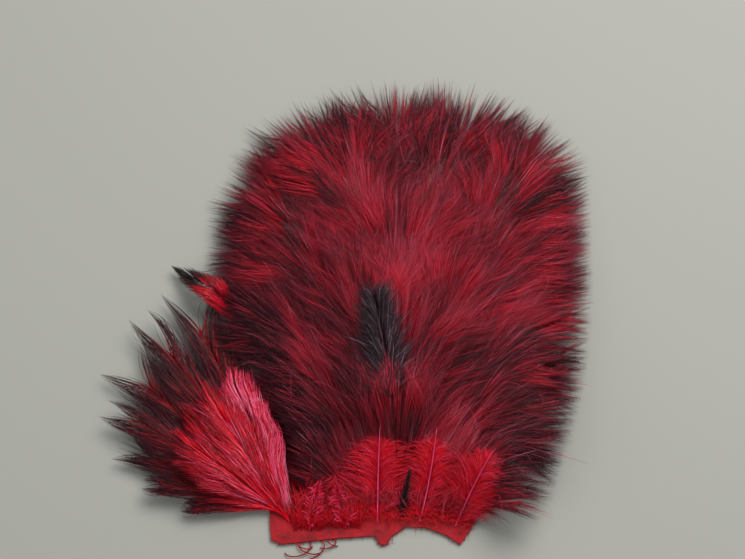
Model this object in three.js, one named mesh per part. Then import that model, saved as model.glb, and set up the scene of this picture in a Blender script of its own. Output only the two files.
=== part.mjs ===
// A patch of dyed hen's skin with its marabou plumage, lying on its flesh side.
// Millimetres. +Z is up, +Y runs from the cut edge of the skin towards the feather tips, and the
// origin is on the skin's flat underside, below the crown of the fluff.
import * as THREE from "three";

const DEG = Math.PI / 180;

// The skin, with a torn lower edge and a rounded upper one that the fluff covers.
const SKIN_THICKNESS = 0.9;
const SKIN_CURVE_SEGMENTS = 8;
const QUILL_CLEARANCE = 0.55; // from the skin's upper face to the middle of a quill's end

// The fluff's outline from above: a squarish right half and a rounder left half, which narrows
// downwards where the side tuft lies against it.
const FLUFF = {
  centreX: 1,
  centreY: 2,
  right: 46,
  left: 44,
  up: 56,
  down: 66,
  squareness: { right: 3.4, left: 2.1 },
  narrowing: { fromY: 10, perMm: 0.4 },
};
const EDGE_DROOP = 0.72; // share of its height that plumage loses at the outline

// Each row of marabou feathers lies on the row before it, one pitch higher, and every second
// feather of a row lies on its two neighbours.
const ROW_CENTRE_X = 1;
const ROW_SAG = 3; // how far a row's outer quills are set back from its middle one
const ROW_CURL = 9; // degrees that an outer feather bends outwards along CURL_LENGTH
const CURL_LENGTH = 60;
const ROW_LIFT = 1;
const ROW_PITCH = 3.1;
const NEIGHBOUR_LIFT = 1.65;
const NEIGHBOUR_RISE = 4;
const SIDE_RISE = 0.6; // an outer feather climbs in this share of the distance
const OVERLAP = { middle: 1.85, side: 1.3 }; // a feather's width over its spacing in the row
const MARABOU_THICKNESS = 1.15;
const MARABOU_LOCKS = 8;
const MARABOU_NOTCH = 0.3;
const OUTLINE_STEP = 0.25;

// Quills stand in a row at rootY and fan out by up to left and right degrees. Feathers end at a
// share of the way to the fluff's outline, from middle to side, and climb over the rise.
const ROWS = [
  { rootY: 16, rootHalf: 13, count: 7, left: 76, right: 62, middle: 1, side: 1, rise: 10 },
  { rootY: 2, rootHalf: 17, count: 8, left: 84, right: 76, middle: 0.85, side: 1, rise: 13 },
  { rootY: -12, rootHalf: 18, count: 7, left: 76, right: 88, middle: 0.64, side: 0.98, rise: 17 },
  { rootY: -26, rootHalf: 17, count: 8, left: 70, right: 98, middle: 0.53, side: 0.97, rise: 20 },
  { rootY: -38, rootHalf: 15, count: 7, left: 66, right: 104, middle: 0.46, side: 0.82, rise: 23 },
];

// The side tuft of long glossy hackles fans out from the skin's left corner in two layers. Within
// a layer the lengths fall off from the first by the power of the fan, and headings are from +Y.
const TUFT = { rootX: -23, rootY: -45.5, rootStepX: -2.5, rootStepY: 2.5, rise: 14 };
const HACKLE_THICKNESS = 0.8;
const HACKLE_LOCKS = 7;
const HACKLE_NOTCH = 0.35;
const HACKLE_OVERLAP = 1.8;
const HACKLE_NEIGHBOUR_LIFT = 1.2;
const TUFT_LAYERS = [
  { first: 1, count: 7, from: -25, to: -88, longest: 62, loss: 40, power: 1.6, level: 0.9 },
  { first: 8, count: 5, from: -22, to: -66, longest: 36, loss: 12, power: 2, level: 4.3 },
];

// Vaned feathers that lie by themselves: soft hackles on the front slope, a dark feather that climbs
// over the crown from between them, and one with a black tip at the left side.
const VANED_FEATHERS = {
  soft_hackle_1: { x: -3.4, y: -45.5, heading: 0, bend: 4, length: 21, width: 10.5, level: 11.8, rise: 24 },
  soft_hackle_2: { x: 6, y: -45.5, heading: 16, bend: -10, length: 20, width: 8.5, level: 12, rise: 24 },
  soft_hackle_3: { x: 14, y: -46.5, heading: 24, bend: 14, length: 17, width: 9, level: 14, rise: 18 },
  soft_hackle_4: { x: -10.5, y: -47, heading: -10, bend: -8, length: 9, width: 5, level: 5, rise: 12 },
  soft_hackle_5: { x: -18.5, y: -47.5, heading: 8, bend: 10, length: 10, width: 4, level: 4, rise: 12 },
  dark_feather: { x: 1.6, y: -45, heading: -2, bend: -12, length: 58, width: 9, level: 17, rise: 22 },
  black_tipped_feather: { x: -25, y: -1, heading: -70, bend: 22, length: 30, width: 5, level: 0.6, rise: 20 },
};
const VANE_THICKNESS = 0.8;
const VANE_LOCKS = 5;
const VANE_NOTCH = 0.16;

// Shared by every feather. Widths and thicknesses are shares of the largest, and places are shares
// of the feather's length.
const QUILL_WIDTH = 0.05;
const FLUFFY = { opensBefore: 0.02, opensOver: 0.3, roundsFrom: 0.62, roundsOver: 0.42 };
const VANED = { opensOver: 0.3, narrowsFrom: 0.45, narrowsOver: 0.58, narrowsBy: 0.9 };
const BODY = { swellsFrom: 0.03, swellsOver: 0.4, thinsBy: 0.55 };
const MIDRIB_POINTS = 7;
const FIRST_MIDRIB = 0.6; // place of the first midrib point, in steps from the quill's end
const LAST_MIDRIB = 0.8; // place of the last one, in steps back from the tip
const FIRST_LOCK = 0.12; // share of the length below the first lock
const LAST_LOCK = 0.97;
const LOCK_LEAN = [0.55, 0.85]; // how far a lock's point leans towards the tip, of its spacing
const LOCK_DEPTH = [0.6, 1.2]; // shares of the notch depth
const LOCK_REACH = [0.9, 1]; // shares of the half width
const EDGE_WAVER = 0.25; // how far a lock's point stands above or below its feather at the tip
const THINNEST = 0.12;
const SEEDS = { row: 100, tuft: 700, vaned: 900 };
const STRAIGHT = 1e-6; // a turn below this, in radians a millimetre, counts as none

const clamp01 = (v) => Math.min(1, Math.max(0, v));
const smooth = (v) => clamp01(v) ** 2 * (3 - 2 * clamp01(v));
const mix = (a, b, t) => a + (b - a) * t;

// A repeatable source of numbers from 0 to 1, so that no two locks are quite alike.
function seeded(seed) {
  let state = seed * 2654435761;
  return () => {
    state = (state + 0x6d2b79f5) | 0;
    let t = Math.imul(state ^ (state >>> 15), 1 | state);
    t = (t + Math.imul(t ^ (t >>> 7), 61 | t)) ^ t;
    return ((t ^ (t >>> 14)) >>> 0) / 4294967296;
  };
}

// How far out a point lies, seen from above: 0 in the middle of the fluff and 1 on its outline.
function outwards(x, y) {
  const dx = x - FLUFF.centreX;
  const dy = y - FLUFF.centreY;
  const narrowed = FLUFF.narrowing.perMm * Math.max(0, FLUFF.narrowing.fromY - y);
  const acrossReach = dx > 0 ? FLUFF.right : FLUFF.left - narrowed;
  const alongReach = dy > 0 ? FLUFF.up : FLUFF.down;
  const power = dx > 0 ? FLUFF.squareness.right : FLUFF.squareness.left;
  const sum = Math.abs(dx / acrossReach) ** power + Math.abs(dy / alongReach) ** power;
  return sum ** (1 / power);
}

// The share of its height that plumage keeps at a point, because it droops towards the outline.
const standing = (x, y) => 1 - EDGE_DROOP * Math.min(1, outwards(x, y)) ** 3;

// The point at a distance along a feather whose heading, clockwise from +Y, turns evenly.
function along(root, heading, bend, length, distance) {
  const turn = (bend * DEG) / length;
  const start = heading * DEG;
  const end = start + turn * distance;
  if (Math.abs(turn) < STRAIGHT)
    return [root[0] + distance * Math.sin(start), root[1] + distance * Math.cos(start)];
  return [
    root[0] + (Math.cos(start) - Math.cos(end)) / turn,
    root[1] + (Math.sin(end) - Math.sin(start)) / turn,
  ];
}

// A fluffy feather's half width along its length: quill, blade and round tip.
function fluffyWidth(t) {
  const opened = smooth((t + FLUFFY.opensBefore) / FLUFFY.opensOver);
  const rounded = Math.sqrt(1 - clamp01((t - FLUFFY.roundsFrom) / FLUFFY.roundsOver) ** 2);
  return Math.max(QUILL_WIDTH, opened * rounded);
}

// A vaned feather's half width: widest below the middle and narrowing to a point.
function vanedWidth(t) {
  const narrowed = 1 - VANED.narrowsBy * clamp01((t - VANED.narrowsFrom) / VANED.narrowsOver) ** 2;
  return Math.max(QUILL_WIDTH, smooth(t / VANED.opensOver) * narrowed);
}

// A feather's thickness along its length.
const bodyAt = (t) =>
  Math.max(THINNEST, smooth((t - BODY.swellsFrom) / BODY.swellsOver) * (1 - BODY.thinsBy * t ** 2));

// One side's outline from quill to tip: each lock is a notch and then a point that leans forwards.
function lockOutline(locks, notchDepth, random) {
  const points = [];
  const spacing = (LAST_LOCK - FIRST_LOCK) / locks;
  for (let lock = 0; lock < locks; lock++) {
    const notch = FIRST_LOCK + lock * spacing;
    const lean = mix(...LOCK_LEAN, random());
    points.push({ t: notch, w: 1 - mix(...LOCK_DEPTH, random()) * notchDepth });
    points.push({ t: notch + lean * spacing, w: mix(...LOCK_REACH, random()) });
  }
  return points;
}

// A closed feather: outline points shared by its upper and lower faces, and a midrib on each.
// surface(side, distance) gives the middle of its thickness, with side from -1 to 1 across it.
function featherSolid({ length, locks, notchDepth, thickness, widthAt, surface, random }) {
  const vertices = [];
  const faces = [];
  const add = (side, t, offset) => {
    const [x, y, z] = surface(side, t * length);
    return vertices.push(x, y, z + offset(x, y)) / 3 - 1;
  };
  const root = { t: 0, index: add(0, 0, () => 0) };
  const tip = { t: 1, index: add(0, 1, () => 0) };
  const midrib = (face) =>
    Array.from({ length: MIDRIB_POINTS }, (_, i) => {
      const t = (i + FIRST_MIDRIB) / (MIDRIB_POINTS - 1 + FIRST_MIDRIB + LAST_MIDRIB);
      const half = (thickness / 2) * bodyAt(t);
      return { t, index: add(0, t, (x, y) => face * half * standing(x, y)) };
    });
  const upper = midrib(1);
  const lower = midrib(-1);

  const join = (outline, ribs, flip) => {
    const edge = [...outline, tip];
    const rib = [...ribs, tip];
    const face = (a, b, c) =>
      faces.push(...(flip ? [a.index, c.index, b.index] : [a.index, b.index, c.index]));
    face(root, rib[0], edge[0]);
    let e = 0;
    let r = 0;
    while (e < outline.length - 1 || r < ribs.length - 1) {
      const edgeIsNext = r === ribs.length - 1 || (e < outline.length - 1 && edge[e + 1].t < rib[r + 1].t);
      if (edgeIsNext) face(edge[e], rib[r], edge[++e]);
      else face(edge[e], rib[r], rib[++r]);
    }
    face(edge[e], rib[r], tip);
  };

  for (const side of [-1, 1]) {
    const outline = lockOutline(locks, notchDepth, random).map(({ t, w }) => ({
      t,
      index: add(side * w * widthAt(t), t, () => t * mix(-EDGE_WAVER, EDGE_WAVER, random())),
    }));
    join(outline, upper, side > 0);
    join(outline, lower, side < 0);
  }

  const geometry = new THREE.BufferGeometry();
  geometry.setAttribute("position", new THREE.Float32BufferAttribute(vertices, 3));
  geometry.setIndex(faces);
  geometry.computeVertexNormals();
  return geometry;
}

const materials = {
  skin: new THREE.MeshStandardMaterial({ color: 0x9c0f22, roughness: 0.85, metalness: 0 }),
  marabou: new THREE.MeshStandardMaterial({ color: 0x6e1222, roughness: 0.8, metalness: 0 }),
  hackle: new THREE.MeshStandardMaterial({ color: 0xc4142c, roughness: 0.45, metalness: 0 }),
  dark: new THREE.MeshStandardMaterial({ color: 0x24141b, roughness: 0.5, metalness: 0 }),
};

function named(name, geometry, material) {
  const mesh = new THREE.Mesh(geometry, material);
  mesh.name = name;
  return mesh;
}

const numbered = (name, number) => `${name}_${String(number).padStart(2, "0")}`;

// The skin: a flat hide whose lower edge is torn and cut, and whose other edges are smooth.
function makeSkin() {
  const outline = new THREE.Shape();
  outline.moveTo(-27, -49.6);
  const tornEdge = [
    [-24.6, -50.6],
    [-20, -50.1],
    [-12, -49.2],
    [-4, -48.7],
    [-2.6, -50.7],
    [-1.2, -50.7],
    [-0.4, -48.9],
    [3, -46.6],
    [7.6, -46.9],
    [12, -48.6],
    [15, -50.6],
    [17, -47.8],
    [19, -44.2],
    [21, -42.6],
  ];
  for (const [x, y] of tornEdge) outline.lineTo(x, y);
  outline.bezierCurveTo(29, -34, 28, -10, 24, 6);
  outline.bezierCurveTo(20, 22, 10, 27, 0, 27);
  outline.bezierCurveTo(-12, 27, -24, 20, -27, 2);
  outline.bezierCurveTo(-29, -16, -28, -38, -27, -49.6);
  const geometry = new THREE.ExtrudeGeometry(outline, {
    depth: SKIN_THICKNESS,
    bevelEnabled: false,
    curveSegments: SKIN_CURVE_SEGMENTS,
  });
  return named("skin", geometry, materials.skin);
}

const quillHeight = SKIN_THICKNESS + QUILL_CLEARANCE;

// The way that a row's plumage flows: q runs from -1 at the row's left end to 1 at its right end.
function rowPoint(row, q, distance) {
  const root = [ROW_CENTRE_X + q * row.rootHalf, row.rootY - ROW_SAG * q * q];
  const heading = q * (q < 0 ? row.left : row.right);
  return along(root, heading, q * ROW_CURL, CURL_LENGTH, distance);
}

function distanceToOutline(row, q) {
  let distance = 0;
  while (outwards(...rowPoint(row, q, distance)) < 1) distance += OUTLINE_STEP;
  return distance;
}

// One marabou feather of a row: order runs from 0 at the row's left end.
function makeMarabou(row, rowIndex, order, name) {
  const spacing = 2 / (row.count - 1);
  const q = -1 + order * spacing;
  const halfWidth = (spacing / 2) * mix(OVERLAP.middle, OVERLAP.side, Math.abs(q));
  const level = ROW_LIFT + ROW_PITCH * rowIndex;
  const above = NEIGHBOUR_LIFT * (order % 2);
  const surface = (side, distance) => {
    const across = q + side * halfWidth;
    const [x, y] = rowPoint(row, across, distance);
    const rise = row.rise * mix(1, SIDE_RISE, Math.abs(across));
    const climbed = level * smooth(distance / rise) + above * smooth(distance / NEIGHBOUR_RISE);
    return [x, y, quillHeight + climbed * standing(x, y)];
  };
  const geometry = featherSolid({
    length: distanceToOutline(row, q) * mix(row.middle, row.side, q * q),
    locks: MARABOU_LOCKS,
    notchDepth: MARABOU_NOTCH,
    thickness: MARABOU_THICKNESS,
    widthAt: fluffyWidth,
    surface,
    random: seeded(SEEDS.row * rowIndex + order + 1),
  });
  return named(name, geometry, materials.marabou);
}

function makeMarabouRows() {
  const meshes = [];
  ROWS.forEach((row, rowIndex) => {
    for (let order = 0; order < row.count; order++)
      meshes.push(makeMarabou(row, rowIndex, order, numbered("marabou_feather", meshes.length + 1)));
  });
  return meshes;
}

// A hackle of the side tuft: fan runs from 0 at the fluff's side to 1 at the lower end.
function makeHackle(layer, order) {
  const spacing = 1 / (layer.count - 1);
  const fan = order * spacing;
  const halfWidth = (spacing / 2) * HACKLE_OVERLAP;
  const length = layer.longest - layer.loss * fan ** layer.power;
  const above = HACKLE_NEIGHBOUR_LIFT * (order % 2);
  const surface = (side, distance) => {
    const across = fan - side * halfWidth;
    const root = [TUFT.rootX + across * TUFT.rootStepX, TUFT.rootY + across * TUFT.rootStepY];
    const climbed = layer.level * smooth(distance / TUFT.rise) + above * smooth(distance / NEIGHBOUR_RISE);
    return [...along(root, mix(layer.from, layer.to, across), 0, length, distance), quillHeight + climbed];
  };
  const geometry = featherSolid({
    length,
    locks: HACKLE_LOCKS,
    notchDepth: HACKLE_NOTCH,
    thickness: HACKLE_THICKNESS,
    widthAt: vanedWidth,
    surface,
    random: seeded(SEEDS.tuft + layer.first + order),
  });
  return named(numbered("hackle_feather", layer.first + order), geometry, materials.hackle);
}

function makeTuft() {
  return TUFT_LAYERS.flatMap((layer) =>
    Array.from({ length: layer.count }, (_, order) => makeHackle(layer, order)),
  );
}

// A vaned feather that lies by itself: its width is square to its midrib.
function makeVaned([name, { x, y, heading, bend, length, width, level, rise }], index) {
  const surface = (side, distance) => {
    const [midX, midY] = along([x, y], heading, bend, length, distance);
    const direction = (heading + (bend * distance) / length) * DEG;
    const reach = (side * width) / 2;
    const height = quillHeight + level * smooth(distance / rise);
    return [midX + reach * Math.cos(direction), midY - reach * Math.sin(direction), height];
  };
  const geometry = featherSolid({
    length,
    locks: VANE_LOCKS,
    notchDepth: VANE_NOTCH,
    thickness: VANE_THICKNESS,
    widthAt: vanedWidth,
    surface,
    random: seeded(SEEDS.vaned + index),
  });
  const isDark = name.includes("dark") || name.includes("black");
  return named(name, geometry, isDark ? materials.dark : materials.hackle);
}

const patch = new THREE.Group();
patch.name = "marabou_patch";
patch.add(makeSkin(), ...makeMarabouRows(), ...makeTuft(), ...Object.entries(VANED_FEATHERS).map(makeVaned));

export default patch;
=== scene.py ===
"""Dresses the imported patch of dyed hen's skin: each solid feather becomes a shaft with its barbs.

Sizes in the classes are millimetres in the part's own frame, as in its source. They turn into
metres where a mesh is made.
"""

import logging
import math
from dataclasses import dataclass
from enum import Enum
from functools import partial

import bpy
import numpy as np
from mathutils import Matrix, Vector, noise
from mathutils.geometry import delaunay_2d_cdt


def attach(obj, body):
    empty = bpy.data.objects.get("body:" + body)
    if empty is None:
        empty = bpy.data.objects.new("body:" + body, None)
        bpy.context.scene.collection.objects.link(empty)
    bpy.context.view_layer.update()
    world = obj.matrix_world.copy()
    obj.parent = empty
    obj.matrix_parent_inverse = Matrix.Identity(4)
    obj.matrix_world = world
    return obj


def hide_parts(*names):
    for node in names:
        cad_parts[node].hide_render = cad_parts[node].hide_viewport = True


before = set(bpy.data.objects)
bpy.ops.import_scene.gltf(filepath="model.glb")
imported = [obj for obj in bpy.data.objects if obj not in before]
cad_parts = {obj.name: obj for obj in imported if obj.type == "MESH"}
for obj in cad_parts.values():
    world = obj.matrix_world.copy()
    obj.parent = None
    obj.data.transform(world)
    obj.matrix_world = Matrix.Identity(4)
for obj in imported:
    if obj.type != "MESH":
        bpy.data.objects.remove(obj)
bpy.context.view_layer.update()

Array = np.ndarray
Random = np.random.Generator
MM = 0.001
BARB_MAP = "OFBake"
KERATIN_IOR = 1.55
TINY = 1e-12
FLOOR_GAP = 0.12
NOISE_SEED = 29
# Where a quill's middle and the skin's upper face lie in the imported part, in millimetres.
QUILL_HEIGHT = 1.45
SKIN_TOP = 0.9
LOG = logging.getLogger("patch")


def linear(hex_colour: str) -> tuple[float, float, float, float]:
    """Turns an sRGB hex colour into a linear one.

    Args:
        hex_colour: six hex digits, without a mark in front.

    Returns:
        Red, green, blue and an alpha of 1.
    """
    parts = [int(hex_colour[i : i + 2], 16) / 255 for i in (0, 2, 4)]
    low = 0.04045
    return (*[c / 12.92 if c <= low else ((c + 0.055) / 1.055) ** 2.4 for c in parts], 1.0)


def clamp01(value: Array) -> Array:
    """Returns the values kept between 0 and 1."""
    return np.clip(value, 0.0, 1.0)


def smooth(value: Array) -> Array:
    """Returns an even climb from 0 to 1 that starts and ends level."""
    t = clamp01(value)
    return t * t * (3 - 2 * t)


def mix(a: Array, b: Array, t: Array) -> Array:
    """Returns the value at a share t of the way from a to b."""
    return a + (b - a) * t


def shares(points: int) -> Array:
    """Returns even steps from a strand's root, 0, to its tip, 1, as one row."""
    return np.linspace(0, 1, points)[None, :]


def add_node(
    tree: bpy.types.NodeTree, kind: str, settings: dict | None = None, links: dict | None = None
) -> bpy.types.Node:
    """Adds one shader node.

    Args:
        tree: the material's nodes.
        kind: the node's type, without the words that all shader nodes start with.
        settings: values by socket name or number, or else by the node's own property.
        links: the output, or the node whose first output, feeds each socket.

    Returns:
        The new node.
    """
    node = tree.nodes.new("ShaderNode" + kind)
    for key, value in (settings or {}).items():
        if isinstance(key, str) and hasattr(node, key):
            setattr(node, key, value)
        else:
            node.inputs[key].default_value = value
    for key, source in (links or {}).items():
        output = source.outputs[0] if isinstance(source, bpy.types.Node) else source
        tree.links.new(output, node.inputs[key])
    return node


def new_material(name: str) -> bpy.types.Material:
    """Returns a material that has no nodes yet."""
    made = bpy.data.materials.new(name)
    made.use_nodes = True
    made.node_tree.nodes.clear()
    return made


def add_object(name: str, data: bpy.types.ID) -> bpy.types.Object:
    """Puts a mesh, a lamp or a camera in the scene."""
    made = bpy.data.objects.new(name, data)
    bpy.context.scene.collection.objects.link(made)
    return made


class MixSocket:
    """Numbers of a colour mix's sockets, whose names are shared by its other kinds."""

    FACTOR = 0
    A = 6
    B = 7
    RESULT = 2


@dataclass(frozen=True)
class DyedBarbs:
    """Feather keratin with an acid dye: saturated, with darker ends and a faint pink sheen.

    The barb map's u is the barb's shade, from darkest to brightest, and v runs from its root to
    its tip.
    """

    name: str
    root: tuple[str, ...]
    tip: tuple[str, ...]
    dark_from: float
    dark_over: float
    shade_reach: float
    roughness: float
    sheen: float
    sheen_colour: str
    specular: float = 0.4
    streak: float = 0.25
    streaks_across: float = 150.0
    streaks_along: float = 4.0

    def material(self) -> bpy.types.Material:
        """Returns the material, made the first time and found by name after that."""
        found = bpy.data.materials.get(self.name)
        if found:
            return found
        made = new_material(self.name)
        add = partial(add_node, made.node_tree)
        place = add("UVMap", {"uv_map": BARB_MAP})
        axes = add("SeparateXYZ", links={0: place})
        shade, length = axes.outputs[0], axes.outputs[1]
        dyes = []
        for colours in (self.root, self.tip):
            ramp = add("ValToRGB", links={0: shade})
            stops = ramp.color_ramp.elements
            while len(stops) < len(colours):
                stops.new(0.5)
            for i, colour in enumerate(colours):
                stops[i].position = i / (len(colours) - 1)
                stops[i].color = linear(colour)
            dyes.append(ramp.outputs[0])
        delay = add("Math", {"operation": "MULTIPLY", 1: self.shade_reach}, {0: shade})
        ahead = add("Math", {"operation": "SUBTRACT"}, {0: length, 1: delay})
        dark_until = self.dark_from + self.dark_over
        span = {"interpolation_type": "SMOOTHSTEP", "From Min": self.dark_from, "From Max": dark_until}
        darkening = add("MapRange", span, {"Value": ahead})
        dyed = add(
            "Mix",
            {"data_type": "RGBA"},
            {MixSocket.FACTOR: darkening, MixSocket.A: dyes[0], MixSocket.B: dyes[1]},
        )
        scale = (self.streaks_across, self.streaks_along, 1.0)
        stretched = add("VectorMath", {"operation": "MULTIPLY", 1: scale}, {0: place})
        uneven = add("TexNoise", {"Scale": 1.0, "Detail": 1.0}, {"Vector": stretched})
        strength = add(
            "MapRange",
            {"To Min": 1 - self.streak, "To Max": 1 + self.streak, "From Min": 0.3, "From Max": 0.7},
            {"Value": uneven},
        )
        streaked = add(
            "VectorMath",
            {"operation": "SCALE"},
            {0: dyed.outputs[MixSocket.RESULT], "Scale": strength},
        )
        shader = add(
            "BsdfPrincipled",
            {
                "Roughness": self.roughness,
                "IOR": KERATIN_IOR,
                "Specular IOR Level": self.specular,
                "Sheen Weight": self.sheen,
                "Sheen Roughness": 0.4,
                "Sheen Tint": linear(self.sheen_colour),
            },
            {"Base Color": streaked},
        )
        add("OutputMaterial", links={0: shader})
        return made


@dataclass(frozen=True)
class DyedHide:
    """Tanned hen's skin dyed through, which looks matt, felted and slightly blotched in its red."""

    name: str = "dyed_hide_matt"
    deep: str = "72040e"
    bright: str = "b4081a"
    mottle_mm: float = 2.2
    fibre_mm: float = 0.35
    grain_mm: float = 0.12
    fibre_share: float = 0.4
    roughness: float = 0.88
    sheen: float = 0.03
    sheen_colour: str = "c04050"

    def material(self) -> bpy.types.Material:
        """Returns the material: mottled dye, with a fine fibrous grain that drives the bump."""
        made = new_material(self.name)
        add = partial(add_node, made.node_tree)
        place = {"Vector": add("TexCoord").outputs["Object"]}
        blotches = {"Scale": 1 / (self.mottle_mm * MM), "Detail": 4.0, "Roughness": 0.6}
        mottle = add("TexNoise", blotches, place)
        threads = {"Scale": 1 / (self.fibre_mm * MM), "Detail": 3.0, "Distortion": 0.6}
        fibre = add("TexNoise", threads, place)
        both = add("Math", {"operation": "MULTIPLY_ADD", 1: self.fibre_share}, {0: fibre, 2: mottle})
        take_up = add("MapRange", {"From Min": 0.5, "From Max": 0.9}, {"Value": both})
        dyed = add(
            "Mix",
            {"data_type": "RGBA", MixSocket.A: linear(self.deep), MixSocket.B: linear(self.bright)},
            {MixSocket.FACTOR: take_up},
        )
        grain = add("Bump", {"Strength": 0.5, "Distance": self.grain_mm * MM}, {"Height": fibre})
        sheen = {"Sheen Weight": self.sheen, "Sheen Tint": linear(self.sheen_colour)}
        shader = add(
            "BsdfPrincipled",
            {"Roughness": self.roughness, **sheen},
            {"Base Color": dyed.outputs[MixSocket.RESULT], "Normal": grain},
        )
        add("OutputMaterial", links={0: shader})
        return made


class Finish(Enum):
    """The barbs' finishes: one for each kind of feather on the patch."""

    # Soft matt fluff: crimson, near black where the dye took deepest, brighter red where it took least; the
    # palest pink at the top of both ramps is painted highlight, for the fine hairs that would catch the
    # light.
    MARABOU = DyedBarbs(
        name="dyed_marabou_fluff",
        root=("4c060e", "980a1a", "d60826", "ec4868"),
        tip=("26080e", "500e1c", "a0142a", "d07c92"),
        dark_from=0.1, dark_over=0.4, shade_reach=0.4, roughness=0.6, sheen=0.05,
        sheen_colour="d86a90", specular=0.3,
    )
    # Glossy scarlet strands that end in wispy dark brown; the pink at the top of both ramps is pale dye
    # with painted highlight.
    HACKLE = DyedBarbs(
        name="dyed_hackle_glossy",
        root=("360a14", "d00018", "fa0428", "ff84a8"),
        tip=("2a0e16", "5e1a28", "d4041e", "ff4c78"),
        dark_from=0.25, dark_over=0.4, shade_reach=0.1, roughness=0.34, sheen=0.02,
        sheen_colour="ff90b0", specular=0.25,
    )
    # Clear bright red with a satin surface and a pink shaft.
    SOFT_HACKLE = DyedBarbs(
        name="dyed_soft_hackle_satin",
        root=("900412", "d0021a", "ec0422", "fa4c80"),
        tip=("5a0612", "b80216", "e80622", "ff70a0"),
        dark_from=0.4, dark_over=0.5, shade_reach=0.2, roughness=0.45, sheen=0.02,
        sheen_colour="ff80a8", specular=0.25,
    )
    # Dull red threads, as matt as the hide that they come out of.
    HIDE_FIBRE = DyedBarbs(
        name="dyed_hide_fibres_loose",
        root=("6a0814", "a00c1c", "c81428", "e04058"),
        tip=("4a0810", "860c1a", "b41226", "d83850"),
        dark_from=0.3, dark_over=0.5, shade_reach=0.2, roughness=0.7, sheen=0.05,
        sheen_colour="d86a90", specular=0.2,
    )
    # A near-black vane with a purple cast and grey hairs; its grey top stops are painted highlight on those
    # hairs.
    DARK = DyedBarbs(
        name="dyed_dark_feather_satin",
        root=("12080c", "221018", "402430", "7a5a64"),
        tip=("10080c", "221018", "48303a", "a08890"),
        dark_from=0.1, dark_over=0.5, shade_reach=0.2, roughness=0.5, sheen=0.03,
        sheen_colour="a080a0", specular=0.25,
    )
    # Red barbs that turn black towards the feather's tip, with a slight gloss.
    BLACK_TIPPED = DyedBarbs(
        name="dyed_black_tipped_feather",
        root=("100608", "3a0a14", "d00820", "f03858"),
        tip=("0a0406", "2a0810", "c0061c", "e82848"),
        dark_from=0.4, dark_over=0.5, shade_reach=0.1, roughness=0.38, sheen=0.03,
        sheen_colour="ff80a0", specular=0.4,
    )


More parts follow.
